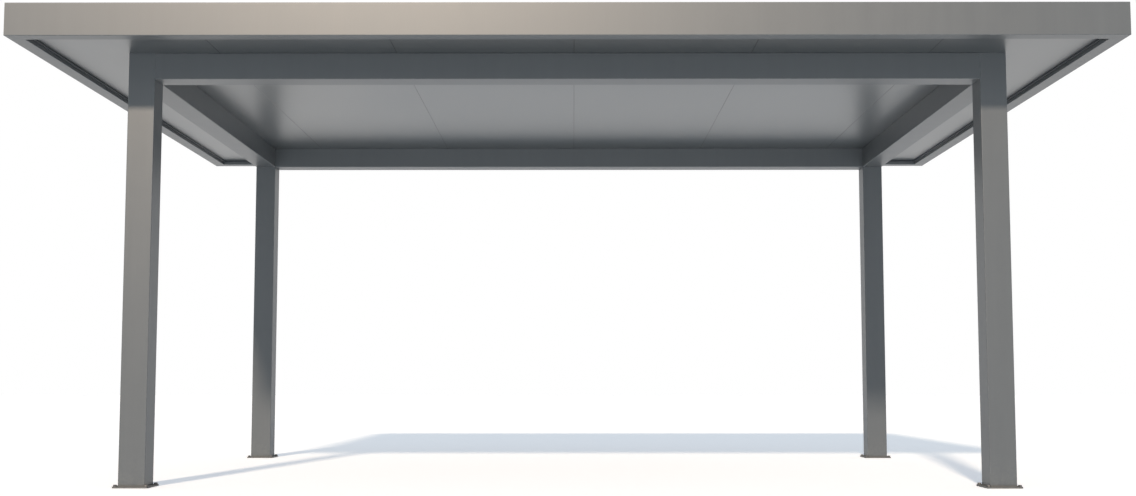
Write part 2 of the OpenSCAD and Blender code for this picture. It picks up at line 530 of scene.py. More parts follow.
def ramp(tree, value, low, high, out_low=0.0):
    """A clamped Map Range node that rises to 1."""
    made = add_node(tree, "ShaderNodeMapRange")
    feed(tree, made.inputs["Value"], value)
    feed(tree, made.inputs["From Min"], low)
    feed(tree, made.inputs["From Max"], high)
    feed(tree, made.inputs["To Min"], out_low)
    feed(tree, made.inputs["To Max"], 1.0)
    return made.outputs["Result"]


def socket_kind(label):
    """A socket whose label ends in Colour holds a colour, any other a value."""
    return "NodeSocketColor" if label.endswith("Colour") else "NodeSocketFloat"


def new_group(name, inputs, outputs):
    """A shader group with the named inputs at their defaults, and the named outputs.

    Also gives its inputs and outputs to link, and the place on the piece in metres."""
    group = bpy.data.node_groups.new(name, "ShaderNodeTree")
    for label, default in inputs.items():
        socket = group.interface.new_socket(label, in_out="INPUT", socket_type=socket_kind(label))
        socket.default_value = default
    for label in outputs:
        group.interface.new_socket(label, in_out="OUTPUT", socket_type=socket_kind(label))
    source = group.nodes.new("NodeGroupInput")
    result = group.nodes.new("NodeGroupOutput")
    place = add_node(group, "ShaderNodeTexCoord").outputs["Object"]
    return group, source.outputs, result.inputs, place


GREY = (0.1, 0.1, 0.1, 1)
GRAIN_FLECK = 0.10
GRAIN_RISE = 0.12
DUST_COLOUR = (0.30, 0.285, 0.26, 1)
SPLASH_TOP = 0.28  # metres above the floor
RAIN_STRETCH = (16.0, 16.0, 0.9)
FILM_ROUGHER = 0.35
CHALK_ROUGHER = 0.5
RAIN_ROUGHER = 0.5
WAVE_STRETCH = (5.0, 1.2, 5.0)
BRUSH_STRETCH = (260.0, 6.0, 260.0)
SHEET_TONE = 0.07
SHEET_LINE = 0.04
STIPPLE_RISE = 0.05
# painted shade: how much darker a roof panel's colour is made on its rounded edges, bends and ends,
# drawing the joint lines on the ceiling
EDGE_PAINTED_SHADE = 0.7
RUB_GAIN = 1.9
RUB_LIFT = 0.03


def coat_grain_group():
    """Powder coat: orange peel, fine grain and slow changes of tone and gloss."""
    group, given, out, place = new_group(
        "coat_grain",
        {"Colour": GREY, "Gloss Base": 0.38, "Gloss Spread": 0.06, "Tone Spread": 0.08, "Peel Size": 240},
        ["Colour", "Roughness", "Height"],
    )
    peel = noise(group, place, given["Peel Size"], detail=2.0, rough=0.45)
    grain = noise(group, place, scale=1900.0, detail=1.0, rough=0.5)
    cloud = noise(group, place, scale=0.9, detail=4.0, rough=0.55)
    patch = noise(group, place, scale=11.0, detail=3.0, rough=0.5)
    tone = spread(group, averaged(group, cloud, 0.7, patch), given["Tone Spread"])
    fleck = spread(group, grain, GRAIN_FLECK)
    gain = calculate(group, "ADD", calculate(group, "ADD", tone, fleck), 1.0)
    feed(group, out["Colour"], brightened(group, given["Colour"], gain))
    change = spread(group, averaged(group, patch, 0.6, peel), given["Gloss Spread"])
    feed(group, out["Roughness"], calculate(group, "ADD", change, given["Gloss Base"]))
    feed(group, out["Height"], calculate(group, "MULTIPLY_ADD", grain, GRAIN_RISE, peel))
    return group


def weather_group():
    """Outdoor film: dust on what faces up, faint rain streaks, and splash marks near the floor."""
    group, given, out, place = new_group(
        "weather_film",
        {"Colour": GREY, "Roughness": 0.38, "Dust": 0.4, "Streaks": 0.05, "Splash": 0.2},
        ["Colour", "Roughness"],
    )
    facing = add_node(group, "ShaderNodeSeparateXYZ")
    feed(group, facing.inputs[0], add_node(group, "ShaderNodeNewGeometry").outputs["Normal"])
    spot = add_node(group, "ShaderNodeSeparateXYZ")
    feed(group, spot.inputs[0], place)
    up = ramp(group, facing.outputs["Z"], low=0.35, high=0.95)
    settled = noise(group, place, scale=5.0, detail=6.0, rough=0.65)
    settled = ramp(group, settled, low=0.36, high=0.72, out_low=0.25)
    dust = times(group, times(group, up, settled), given["Dust"])
    low = calculate(group, "POWER", ramp(group, spot.outputs["Z"], low=SPLASH_TOP, high=0.0), 2.0)
    marks = ramp(group, noise(group, place, scale=60.0, detail=5.0, rough=0.7), low=0.42, high=0.75)
    splash = times(group, times(group, low, marks), given["Splash"])
    film = calculate(group, "MAXIMUM", dust, splash)
    dusty = blended(group, film, given["Colour"], DUST_COLOUR)
    runs = noise(group, stretched(group, place, RAIN_STRETCH), scale=1.0, detail=5.0, rough=0.6)
    upright = ramp(group, calculate(group, "ABSOLUTE", facing.outputs["Z"]), low=0.5, high=0.1)
    runs = spread(group, ramp(group, runs, low=0.3, high=0.7), upright)
    runs = times(group, runs, given["Streaks"])
    gain = calculate(group, "ADD", runs, 1.0)
    feed(group, out["Colour"], brightened(group, dusty, gain))
    chalky = times(group, up, given["Dust"])
    rougher = calculate(group, "MULTIPLY_ADD", film, FILM_ROUGHER, given["Roughness"])
    rougher = calculate(group, "MULTIPLY_ADD", chalky, CHALK_ROUGHER, rougher)
    rougher = calculate(group, "MULTIPLY_ADD", runs, RAIN_ROUGHER, rougher)
    feed(group, out["Roughness"], rougher)
    return group


def edge_rub_group():
    """Rubbed edges: broken lighter marks where the wear value is high."""
    group, given, out, place = new_group(
        "edge_rub",
        {"Colour": GREY, "Rubbed Colour": (0.3, 0.3, 0.3, 1), "Edge": 0.0, "Amount": 0.3},
        ["Colour", "Mask"],
    )
    broken = ramp(group, noise(group, place, scale=34.0, detail=6.0, rough=0.7), low=0.46, high=0.66)
    broken = times(group, broken, given["Amount"])
    mask = times(group, given["Edge"], broken)
    feed(group, out["Mask"], mask)
    feed(group, out["Colour"], blended(group, mask, given["Colour"], given["Rubbed Colour"]))
    return group


def rolled_sheet_group():
    """Coil-coated sheet: long shallow waves, brushed lines, lacquer stipple, and painted shade that
    darkens its rounded edges and bends.
    """
    group, given, out, place = new_group(
        "rolled_sheet",
        {"Colour": GREY, "Gloss Base": 0.33, "Gloss Spread": 0.05, "Wave Depth": 0.6, "Edge": 0.0},
        ["Colour", "Roughness", "Height"],
    )
    waves = noise(group, stretched(group, place, WAVE_STRETCH), scale=1.0, detail=2.0, rough=0.4)
    stipple = noise(group, place, scale=120.0, detail=2.0, rough=0.5)
    brush = noise(group, stretched(group, place, BRUSH_STRETCH), scale=1.0, detail=3.0, rough=0.5)
    cloud = noise(group, place, scale=1.3, detail=4.0, rough=0.55)
    tone = spread(group, cloud, SHEET_TONE)
    line = spread(group, brush, SHEET_LINE)
    gain = calculate(group, "ADD", calculate(group, "ADD", tone, line), 1.0)
    # painted shade: the colour darkens where the edge value is high, along the panel's rounded edges,
    # bends and ends
    gain = calculate(group, "MULTIPLY_ADD", given["Edge"], -EDGE_PAINTED_SHADE, gain)
    feed(group, out["Colour"], brightened(group, given["Colour"], gain))
    change = spread(group, averaged(group, brush, 0.5, cloud), given["Gloss Spread"])
    feed(group, out["Roughness"], calculate(group, "ADD", change, given["Gloss Base"]))
    ripple = times(group, waves, given["Wave Depth"])
    feed(group, out["Height"], calculate(group, "MULTIPLY_ADD", stipple, STIPPLE_RISE, ripple))
    return group


GRAIN = coat_grain_group()
WEATHER = weather_group()
RUB = edge_rub_group()
ROLLED = rolled_sheet_group()


def place_group(tree, group, **values):
    """A group node with its inputs fed. Underscores in a key stand for spaces."""
    made = add_node(tree, "ShaderNodeGroup", node_tree=group)
    for key, value in values.items():
        feed(tree, made.inputs[key.replace("_", " ")], value)
    return made.outputs


def emptied(owner):
    """The node tree of a material or a world, with its nodes cleared away."""
    owner.use_nodes = True
    owner.node_tree.nodes.clear()
    return owner.node_tree


def start_material(name):
    """An empty node material: its tree and its Principled shader, already linked."""
    material = bpy.data.materials.new(name)
    tree = emptied(material)
    output = add_node(tree, "ShaderNodeOutputMaterial")
    shader = add_node(tree, "ShaderNodeBsdfPrincipled")
    tree.links.new(shader.outputs[0], output.inputs["Surface"])
    return material, tree, shader


def bumped(tree, shader, height, strength, distance):
    """Feeds the shader's normal from a height through a Bump node."""
    bump = add_node(tree, "ShaderNodeBump")
    bump.inputs["Strength"].default_value = strength
    bump.inputs["Distance"].default_value = distance
    feed(tree, bump.inputs["Height"], height)
    tree.links.new(bump.outputs[0], shader.inputs["Normal"])


def edge_wear_and_shade(tree):
    """The edge value kept on the points of a piece: rubbed wear on coated pieces, painted shade on the
    edges of roof panels.
    """
    return add_node(tree, "ShaderNodeAttribute", attribute_name="wear_and_shade").outputs["Fac"]


def rubbed(tree, colour, bare, amount):
    """A colour with its edges rubbed towards a barer one."""
    edge = edge_wear_and_shade(tree)
    group = place_group(tree, RUB, Colour=colour, Rubbed_Colour=bare, Edge=edge, Amount=amount)
    return group["Colour"]


def weathered(tree, shader, colour, roughness, dust, streaks, splash):
    """Feeds the shader a colour and a roughness seen through the outdoor film."""
    marks = {"Dust": dust, "Streaks": streaks, "Splash": splash}
    film = place_group(tree, WEATHER, Colour=colour, Roughness=roughness, **marks)
    feed(tree, shader.inputs["Base Color"], film["Colour"])
    feed(tree, shader.inputs["Roughness"], film["Roughness"])


def coated(name, colour, gloss, dust=0.35, splash=0.25):
    """A powder-coated metal finish."""
    material, tree, shader = start_material(name)
    grain = place_group(tree, GRAIN, Colour=colour, Gloss_Base=gloss)
    bare = tuple(RUB_GAIN * c + RUB_LIFT for c in colour[:3]) + (1,)
    worn = rubbed(tree, grain["Colour"], bare, amount=0.25)
    weathered(tree, shader, worn, grain["Roughness"], dust, streaks=0.05, splash=splash)
    bumped(tree, shader, grain["Height"], strength=0.10, distance=0.0006)
    return material


def coil_coated(name, colour, gloss, ior, dust=0.45):
    """The lacquered sheet of a roof panel."""
    material, tree, shader = start_material(name)
    # the edge value feeds painted shade on the panel's rounded edges, bends and ends
    sheet = place_group(tree, ROLLED, Colour=colour, Gloss_Base=gloss, Edge=edge_wear_and_shade(tree))
    weathered(tree, shader, sheet["Colour"], sheet["Roughness"], dust, streaks=0.0, splash=0.0)
    shader.inputs["IOR"].default_value = ior
    bumped(tree, shader, sheet["Height"], strength=0.25, distance=0.004)
    return material


def zinc_plated(name, colour, gloss):
    """Plated steel of bolts, screws and rivets, dulled by weather."""
    material, tree, shader = start_material(name)
    looks = {"Gloss_Spread": 0.25, "Tone_Spread": 0.35, "Peel_Size": 700.0}
    grain = place_group(tree, GRAIN, Colour=colour, Gloss_Base=gloss, **looks)
    worn = rubbed(tree, grain["Colour"], ZINC_RUBBED, amount=0.6)
    weathered(tree, shader, worn, grain["Roughness"], dust=0.15, streaks=0.0, splash=0.1)
    shader.inputs["Metallic"].default_value = 1.0
    bumped(tree, shader, grain["Height"], strength=0.2, distance=0.0003)
    return material


COAT = (0.123, 0.132, 0.141, 1)
# painted shade: the near-black coat of the strip behind the fascia's lip stands for the shade in that
# groove; in the panel joints it is the dark joint colour
GROOVE_SHADE_AND_JOINT_COAT = (0.040, 0.047, 0.055, 1)
PLATE_COAT = (0.095, 0.097, 0.098, 1)
DRAIN_COAT = (0.100, 0.108, 0.116, 1)
PANEL_COAT = (0.096, 0.106, 0.114, 1)
ZINC = (0.11, 0.11, 0.115, 1)
ZINC_RUBBED = (0.30, 0.30, 0.295, 1)
frame_coat = coated("frame_coat", COAT, gloss=0.40)
fascia_coat = coated("fascia_coat", COAT, gloss=0.40)
# the dark coat: painted shade in the groove behind the lip, and the dark joint colour between panels
groove_shade_and_joint_coat = coated("groove_shade_and_joint_coat", GROOVE_SHADE_AND_JOINT_COAT, gloss=0.45)
plate_coat = coated("plate_coat", PLATE_COAT, gloss=0.55, splash=0.3)
flashing_coat = coated("flashing_coat", COAT, gloss=0.40, dust=0.5)
drain_coat = coated("drain_coat", DRAIN_COAT, gloss=0.40, splash=0.4)
panel_coat = coil_coated("panel_coat", PANEL_COAT, gloss=0.33, ior=1.90)
fixing_zinc = zinc_plated("fixing_zinc", ZINC, gloss=0.52)


# ---------------------------------------- posts, plates and beams
def tube_outlines(size):
    """The outer outline of a square tube, its bore and the wear along them."""
    outer, wear_and_shade = rounded_square(size / 2, TUBE_RADIUS, 6)
    inner, _ = rounded_square(size / 2 - TUBE_WALL, TUBE_BORE_RADIUS, 6)
    return outer, inner, wear_and_shade


def box_of(node):
    """A CAD node's lowest and highest corners as arrays."""
    lo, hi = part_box(node)
    return np.array(lo), np.array(hi)


def square_path(half, corner, count):
    """Points and outward directions evenly spaced along a square with rounded corners."""
    outline, _ = rounded_square(half, corner, 8)
    loop = np.concatenate([outline, outline[:1]])
    far = np.concatenate([[0], np.cumsum(np.linalg.norm(np.diff(loop, axis=0), axis=1))])
    at = np.arange(count) / count * far[-1]
    spots = np.stack([np.interp(at, far, loop[:, 0]), np.interp(at, far, loop[:, 1])], -1)
    chord = np.roll(spots, -1, 0) - np.roll(spots, 1, 0)
    chord /= np.linalg.norm(chord, axis=1)[:, None]
    return spots, np.stack([chord[:, 1], -chord[:, 0]], -1), at


def weld_bead(half, corner, leg):
    """A fillet weld round the foot of a post.

    Its section is a quarter circle from the plate to the post, whose radius swells and falls
    with a cosine of the way along, delayed towards its edges so that the ripples curve."""
    spots, outwards, at = square_path(half, corner, WELD_STATIONS)
    sweep = np.linspace(-WELD_OVERRUN, 1 + WELD_OVERRUN, WELD_COLUMNS) * np.pi / 2
    lag = WELD_LAG * np.cos(2 * sweep) * WELD_RIPPLE
    phase = 2 * np.pi * (at[:, None] + lag[None]) / WELD_RIPPLE
    radius = leg * (1 - WELD_SWELL + WELD_SWELL * np.cos(phase))
    out = radius * np.cos(sweep)
    rise = radius * np.sin(sweep)
    flat = spots[:, None] + outwards[:, None] * out[..., None]
    points = np.concatenate([flat, rise[..., None]], -1)
    heel = np.concatenate([spots - outwards * WELD_HEEL, np.full((len(spots), 1), -WELD_HEEL)], -1)
    ring = np.concatenate([points, heel[:, None]], 1)
    return grid(ring[:, ::-1], 0.3, along=True)


def anchor_bolt():
    """A washer with softened edges and a hexagon head on it."""
    head = hex_head(HEAD_FLAT, HEAD_H, 48, dish=HEAD_DISH)
    return joined(turned(WASHER_PROFILE, 40, 0.3), moved(head, (0, 0, WASHER_T)))


def bolts_on(centre, reach):
    """Four anchor bolts at the corners of a square, each turned a little differently."""
    bolts = []
    for number, way in enumerate(CORNER_WAYS):
        turn = spun(math.radians(BOLT_FIRST_TURN + BOLT_NEXT_TURN * number))
        shift = centre + np.array([way[0] * reach, way[1] * reach, 0])
        bolts.append(moved(anchor_bolt(), shift, turn))
    return joined(*bolts)


def build_posts():
    """The posts with their weld beads, base plates and anchor bolts.

    The back left post keeps its own mesh, which has the hole for the spout."""
    for corner in CORNERS:
        lo, hi = box_of("post_" + corner)
        centre = (lo + hi) / 2
        size = hi[0] - lo[0]
        plate_lo, plate_hi = box_of("base_plate_" + corner)
        on_plate = np.array([centre[0], centre[1], plate_hi[2]])
        if corner != "back_left":
            outer, bore, wear_and_shade = tube_outlines(size)
            body = tube(outer, bore, wear_and_shade, lo[2], hi[2], (X_AXIS, Y_AXIS, Z_AXIS))
            body = moved(body, (centre[0], centre[1], 0))
            name = "post_" + corner
            piece(name + "_tube", body, frame_coat, [name])
        bead = moved(weld_bead(size / 2, TUBE_RADIUS, WELD_LEG), on_plate)
        piece("weld_" + corner, bead, plate_coat)
        plate_size = plate_hi[0] - plate_lo[0]
        plate = slab(plate_size, plate_hi[2] - plate_lo[2], PLATE_CORNER, PLATE_BEVEL)
        plate = moved(plate, (centre[0], centre[1], plate_lo[2]))
        name = "base_plate_" + corner
        piece(name + "_cut", plate, plate_coat, [name])
        bolts = bolts_on(on_plate, plate_size / 2 - HOLE_EDGE)
        piece("anchor_bolts_" + corner, bolts, fixing_zinc)
    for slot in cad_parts["post_back_left"].material_slots:
        slot.material = frame_coat


def build_beams():
    """The four square tubes between the posts."""
    for side in SIDES:
        name = "beam_" + side
        lo, hi = box_of(name)
        centre = (lo + hi) / 2
        outer, bore, wear_and_shade = tube_outlines(hi[2] - lo[2])
        if side in ("front", "back"):
            body = tube(outer, bore, wear_and_shade, lo[0], hi[0], (Y_AXIS, Z_AXIS, X_AXIS))
            body = moved(body, (0, centre[1], centre[2]))
        else:
            body = tube(outer, bore, wear_and_shade, lo[1], hi[1], (Z_AXIS, X_AXIS, Y_AXIS))
            body = moved(body, (centre[0], 0, centre[2]))
        piece(name + "_tube", body, frame_coat, [name])


# ---------------------------------------- roof edge
FASCIA_SECTION = [
    (0, 0, BEND_OUT),
    (LIP_W, 0, BEND_OUT),
    (LIP_W, LIP_DROP, BEND_OUT),
    (LIP_W - FLANGE_W, LIP_DROP, SHEET_END),
    (LIP_W - FLANGE_W, LIP_DROP - SKIN, SHEET_END),
    (LIP_W - SKIN, LIP_DROP - SKIN, BEND_IN),
    (LIP_W - SKIN, SKIN, BEND_IN),
    (SKIN, SKIN, BEND_IN),
    (SKIN, FASCIA_H - SKIN, BEND_IN),
    (CAP_W - SKIN, FASCIA_H - SKIN, BEND_IN),
    (CAP_W - SKIN, FASCIA_H - CAP_DROP, SHEET_END),
    (CAP_W, FASCIA_H - CAP_DROP, SHEET_END),
    (CAP_W, FASCIA_H, BEND_OUT),
    (0, FASCIA_H, BEND_OUT),
]
TURNS = {"front": 0, "right": 1, "back": 2, "left": 3}


def build_roof_edge():
    """The folded fascia and the dark strip behind its lip, a mitred run of each on each side. The strip's
    near-black coat is painted shade for the groove behind the lip.
    """
    lip_z = box_of("fascia_front")[0][2]
    width = cad_hi[0] - cad_lo[0]
    depth = cad_hi[1] - cad_lo[1]
    corners = np.array(FASCIA_SECTION)
    fascia, wear_and_shade = rounded_outline(corners[:, :2], corners[:, 2])
    strip_lo = np.array([LIP_W, LIP_DROP - STRIP_H])
    strip_size = np.array([STRIP_W, STRIP_H])
    strip_box = (np.array(CORNER_WAYS) + 1) / 2 * strip_size
    strip, strip_wear = rounded_outline(strip_lo + strip_box, STRIP_RADIUS)
    for side in SIDES:
        sideways = side in ("left", "right")
        length, across = (depth, width) if sideways else (width, depth)
        shift = np.array([0, -across / 2, lip_z])
        turn = quarter_turns(TURNS[side])
        run = moved(moved(mitred_run(fascia, wear_and_shade, length), shift), turn=turn)
        piece("fascia_" + side + "_folded", run, fascia_coat, ["fascia_" + side])
        run = moved(moved(mitred_run(strip, strip_wear, length), shift), turn=turn)
        name = "shadow_strip_" + side
        # painted shade: the strip is coated near black to stand for the shade in the groove behind the
        # lip
        piece(name + "_section", run, groove_shade_and_joint_coat, [name])


# ---------------------------------------- roof
def panel_outline(width, ribs):
    """A roof panel's section: a flat slab with ribs and shallow swages along its top."""
    rib_at = RIB_PITCH * (np.arange(ribs) + 0.5)
    pan_at = RIB_PITCH * np.arange(1, ribs)
    swage_at = np.concatenate([pan_at - SWAGE_PLACE, pan_at + SWAGE_PLACE])
    kinds = [
        (rib_at, RIB_FOOT / 2, RIB_TOP / 2, RIB_H, RIB_BEND),
        (swage_at, SWAGE_W / 2, SWAGE_TOP / 2, SWAGE_H, RIB_BEND),
    ]
    rows = []
    for at, foot, top, rise, bend in kinds:
        x = at[:, None] + np.array([foot, top, -top, -foot])
        z = PANEL_T + np.array([0, rise, rise, 0]) + 0 * x
        rows.append(np.stack([x, z, bend + 0 * x], -1))
    rows = np.concatenate(rows)
    rows = rows[np.argsort(-rows[:, 0, 0])].reshape(-1, 3)
    side = PANEL_SIDE_RADIUS
    ends = [(0, 0, side), (width, 0, side), (width, PANEL_T, side)]
    corners = np.concatenate([ends, rows, [(0, PANEL_T, side)]])
    return rounded_outline(corners[:, :2], corners[:, 2])


def roof_screw():
    """A hexagon screw on a bonded washer, with few faces."""
    washer = turned(SCREW_WASHER_PROFILE, SCREW_SIDES, 0.2)
    head = hex_head(SCREW_FLAT, SCREW_HEAD_H, SCREW_SIDES)
    return joined(washer, moved(head, (0, 0, SCREW_SEAT)))


def build_joint_strips():
    """Dark strips that fill the joints between neighbouring panels, set back from both faces."""
    strips = []
    for number in range(1, PANEL_COUNT):
        before_lo, before_hi = box_of("roof_panel_" + str(number))
        after_lo = box_of("roof_panel_" + str(number + 1))[0]
        left = before_hi[0] - JOINT_STRIP_OVERLAP
        right = after_lo[0] + JOINT_STRIP_OVERLAP
        low = before_lo[2] + JOINT_STRIP_LOW
        high = before_lo[2] + PANEL_T - JOINT_STRIP_LOW
        corners = [(left, low), (right, low), (right, high), (left, high)]
        outline, wear_and_shade = rounded_outline(corners, JOINT_STRIP_RADIUS, 3)
        ends = (-before_hi[1] + JOINT_STRIP_LOW, -before_lo[1] - JOINT_STRIP_LOW)
        strips.append(solid_run(outline, 0 * wear_and_shade, *ends, BACK_TO_FRONT))
    piece("panel_joint_strips", joined(*strips), groove_shade_and_joint_coat)


def build_roof():
    """The panels, the strips in their joints and a screw on every rib over each support."""
    screw_x = []
    for number in range(1, PANEL_COUNT + 1):
        name = "roof_panel_" + str(number)
        lo, hi = box_of(name)
        width = hi[0] - lo[0]
        ribs = int(width / RIB_PITCH + 0.1)
        outline, wear_and_shade = panel_outline(width, ribs)
        body = solid_run(outline, wear_and_shade, -hi[1], -lo[1], BACK_TO_FRONT)
        body = moved(body, (lo[0], 0, lo[2]))
        piece(name + "_profiled", body, panel_coat, [name])
        screw_x.append(lo[0] + RIB_PITCH * (np.arange(ribs) + 0.5))
    build_joint_strips()
    screw_x = np.concatenate(screw_x)
    front_lo, front_hi = box_of("beam_front")
    beam_y = (front_lo[1] + front_hi[1]) / 2
    edge_y = cad_lo[1] + LIP_W - FLANGE_W / 2
    lines = np.array([edge_y, beam_y, 0.0, -beam_y, -edge_y])
    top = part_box("roof_panel_1")[1][2]
    places = np.stack(np.meshgrid(screw_x, lines, [top]), -1).reshape(-1, 3)
    piece("roof_screws", repeated(roof_screw(), places), fixing_zinc)


def flashing_section(wide, tall, way):
    """The section of an upstand: a foot, a leg and a hem turned down at the top.

    Each row is (x, z, corner radius). It is made for the right side and mirrored for the left."""
    leg = wide - FOLD_T
    hem = wide - FOLD_HEM_OUT * FOLD_T
    section = np.array(
        [
            (0, 0, FOLD_END),
            (wide, 0, FOLD_OUT),
            (wide, tall, FOLD_OUT),
            (hem, tall, FOLD_OUT),
            (hem, tall - FOLD_HEM, FOLD_END),
            (leg, tall - FOLD_HEM, FOLD_NOOK),
            (leg, FOLD_T, FOLD_OUT),
            (0, FOLD_T, FOLD_END),
        ]
    )
    if way < 0:
        section[:, 0] = wide - section[:, 0]
        section = section[::-1]
    return rounded_outline(section[:, :2], section[:, 2])


def build_flashings():
    """Folded upstands at both sides of the roof, and the rivets along their feet."""
    rivet = turned(RIVET_PROFILE, 12, 0.4)
    for side, way in (("left", -1), ("right", 1)):
        name = "side_flashing_" + side
        lo, hi = box_of(name)
        wide = hi[0] - lo[0]
        outline, wear_and_shade = flashing_section(wide, hi[2] - lo[2], way)
        body = solid_run(outline, wear_and_shade, -hi[1], -lo[1], BACK_TO_FRONT)
        body = moved(body, (lo[0], 0, lo[2]))
        piece(name + "_folded", body, flashing_coat, [name])
        y = np.arange(lo[1] + RIVET_FIRST, hi[1] - RIVET_LAST, RIVET_PITCH)
        foot_x = (lo[0] + RIVET_PLACE * wide) if way > 0 else (hi[0] - RIVET_PLACE * wide)
        places = np.stack([np.full(len(y), foot_x), y, np.full(len(y), lo[2] + FOLD_T)], -1)
        piece("flashing_rivets_" + side, repeated(rivet, places), fixing_zinc)


# ---------------------------------------- drain
def pipe(path_points, directions, sides, outer, bore):
    """A round pipe along a path: an outer and an inner skin joined by rounded rims.

    At each path point the ring lies square to the direction there. The section goes out along
    the outside and back along the bore."""
    angle = np.arange(sides) * 2 * np.pi / sides
    other = np.cross(directions, X_AXIS)
    ring = np.cos(angle)[None, :, None] * X_AXIS + np.sin(angle)[None, :, None] * other[:, None]
    outside = path_points[:, None] + outer[:, None, None] * ring
    inside = path_points[:, None] + bore[:, None, None] * ring
    rows = np.concatenate([outside, inside[::-1]])
    return grid(rows, 0.1, along=True)


def spout_path(mouth_y, wall_y, centre):
    """The spout's way: straight in from its mouth, a quarter circle up, and on up in the post."""
    bend = np.linspace(0, 1, BEND_STEPS) * np.pi / 2
    bend_y = wall_y - BEND_INSIDE - BEND_R * np.sin(bend)
    bend_z = centre[2] + BEND_R * (1 - np.cos(bend))
    straight_y = np.append(mouth_y - SPOUT_STATIONS, wall_y)
    y = np.concatenate([straight_y, bend_y, np.full(len(RISE_STEPS), bend_y[-1])])
    z = np.concatenate([np.full(len(straight_y), centre[2]), bend_z, bend_z[-1] + RISE_STEPS])
    path_points = np.stack([np.full(len(y), centre[0]), y, z], -1)
    steps = np.gradient(path_points, axis=0)
    return path_points, steps / np.linalg.norm(steps, axis=1)[:, None]


def build_drain():
    """The spout at the foot of the back left post, with its collar and the collar's screws."""
    lo, hi = box_of("drain_spout")
    wall_y = box_of("post_back_left")[1][1]
    centre = (lo + hi) / 2
    path_points, directions = spout_path(hi[1], wall_y, centre)
    outer = np.full(len(path_points), SPOUT_R)
    bore = np.full(len(path_points), SPOUT_BORE)
    outer[:3] = SPOUT_R - SPOUT_MOUTH
    bore[:3] = SPOUT_BORE + SPOUT_MOUTH
    spout = pipe(path_points, directions, SPOUT_SIDES, outer, bore)
    to_back = np.array([[1, 0, 0], [0, 0, 1], [0, -1, 0]], float)
    at_wall = (centre[0], wall_y, centre[2])
    collar = moved(hoop(COLLAR_PROFILE, COLLAR_SIDES, 0.3), at_wall, to_back)
    piece("drain_spout_turned", joined(spout, collar), drain_coat, ["drain_spout"])
    screw = turned(COLLAR_SCREW_PROFILE, COLLAR_SCREW_SIDES, 0.5)
    way = np.radians(COLLAR_SCREW_WAYS)
    spots = [COLLAR_SCREW_RING * np.cos(way), COLLAR_SCREW_RING * np.sin(way), np.full(3, COLLAR_T)]
    screws = moved(repeated(screw, np.stack(spots, -1)), at_wall, to_back)
    piece("drain_collar_screws", screws, fixing_zinc)


def guard_bar():
    """One bar of the leaf guard, carried along a quarter ellipse in the plane y = 0.

    Its middle runs along (radius cos a, height sin a) with a from 0 to the bar's reach."""
    a = np.radians(np.linspace(0, BAR_REACH, BAR_STEPS))
    path = np.stack([(OUTLET_R - BAR_FOOT_IN) * np.cos(a), BAR_FOOT_Z + OUTLET_H * np.sin(a)], -1)
    out = np.stack([np.cos(a), np.sin(a)], -1)
    outline, _ = rounded_outline(CORNER_WAYS, 0.5, 2)
    side = outline[:, 0] * BAR_HALF_W
    lift = outline[:, 1] * BAR_HALF_T
    radius = path[:, :1] + out[:, :1] * lift
    rise = path[:, 1:] + out[:, 1:] * lift
    points = np.stack([radius, side + 0 * radius, rise], -1)
    return solid(points[:, ::-1], 0.2)


def build_outlet():
    """The leaf guard over the roof outlet: a base ring, bars turned about its axis, and a cap."""
    post_lo, post_hi = box_of("post_back_left")
    panel_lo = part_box("roof_panel_1")[0]
    pan_x = panel_lo[0] + RIB_PITCH * 1.5 + RIB_PITCH / 2
    centre = np.array([pan_x + OUTLET_ASIDE, (post_lo[1] + post_hi[1]) / 2, panel_lo[2] + PANEL_T])
    base = hoop(OUTLET_RING_PROFILE, OUTLET_RING_SIDES, 0.2)
    bar = guard_bar()
    bars = [moved(bar, turn=spun(2 * math.pi * i / OUTLET_BARS)) for i in range(OUTLET_BARS)]
    cap = turned(OUTLET_CAP_PROFILE, OUTLET_CAP_SIDES, 0.2)
    cap = moved(cap, (0, 0, OUTLET_H + OUTLET_CAP_LIFT))
    guard = moved(joined(base, cap, *bars), centre)
    piece("roof_outlet_guard", guard, drain_coat)


# ---------------------------------------- floor, light and camera
SUN_WAY = (0.172, 1.0, -0.572)
SUN_STRENGTH = 1.90
SUN_COLOUR = (1.0, 0.885, 0.75)
HIGHLIGHT_STRENGTH = 4.2
HIGHLIGHT_COLOUR = (1.0, 0.80, 0.60)
FILL_WAY = (0.0, 1.0, 0.33)
FILL_STRENGTH = 1.17
FILL_COLOUR = (0.84, 0.93, 0.97)
BACK_FILL_WAY = (0.0, -1.0, -0.02)
BACK_FILL_STRENGTH = 0.8
SKY = (0.185, 0.23, 0.27, 1)
WHITE = (1, 1, 1, 1)
KEY_ANGLE = 3.6
FILL_ANGLE = 40
BACK_FILL_ANGLE = 12

FLOOR_REACH = 60.0
FLOOR_PLAIN = (0.80, 0.81, 0.825, 1)
FLOOR_LOOK = (1.46, 1.37, 1.26, 1)
FLOOR_GLOW = (0.372, 0.388, 0.434, 1)

CAMERA_PLACE = (0.03327, -8.85771, 0.57309)
CAMERA_TILT = 94.4919
CAMERA_TURN = 0.1616
LENS_MM = 41.155
SENSOR_MM = 36.0
LENS_SHIFT_X = -0.00118
LENS_SHIFT_Y = 0.0306
CAMERA_REACH = 300.0


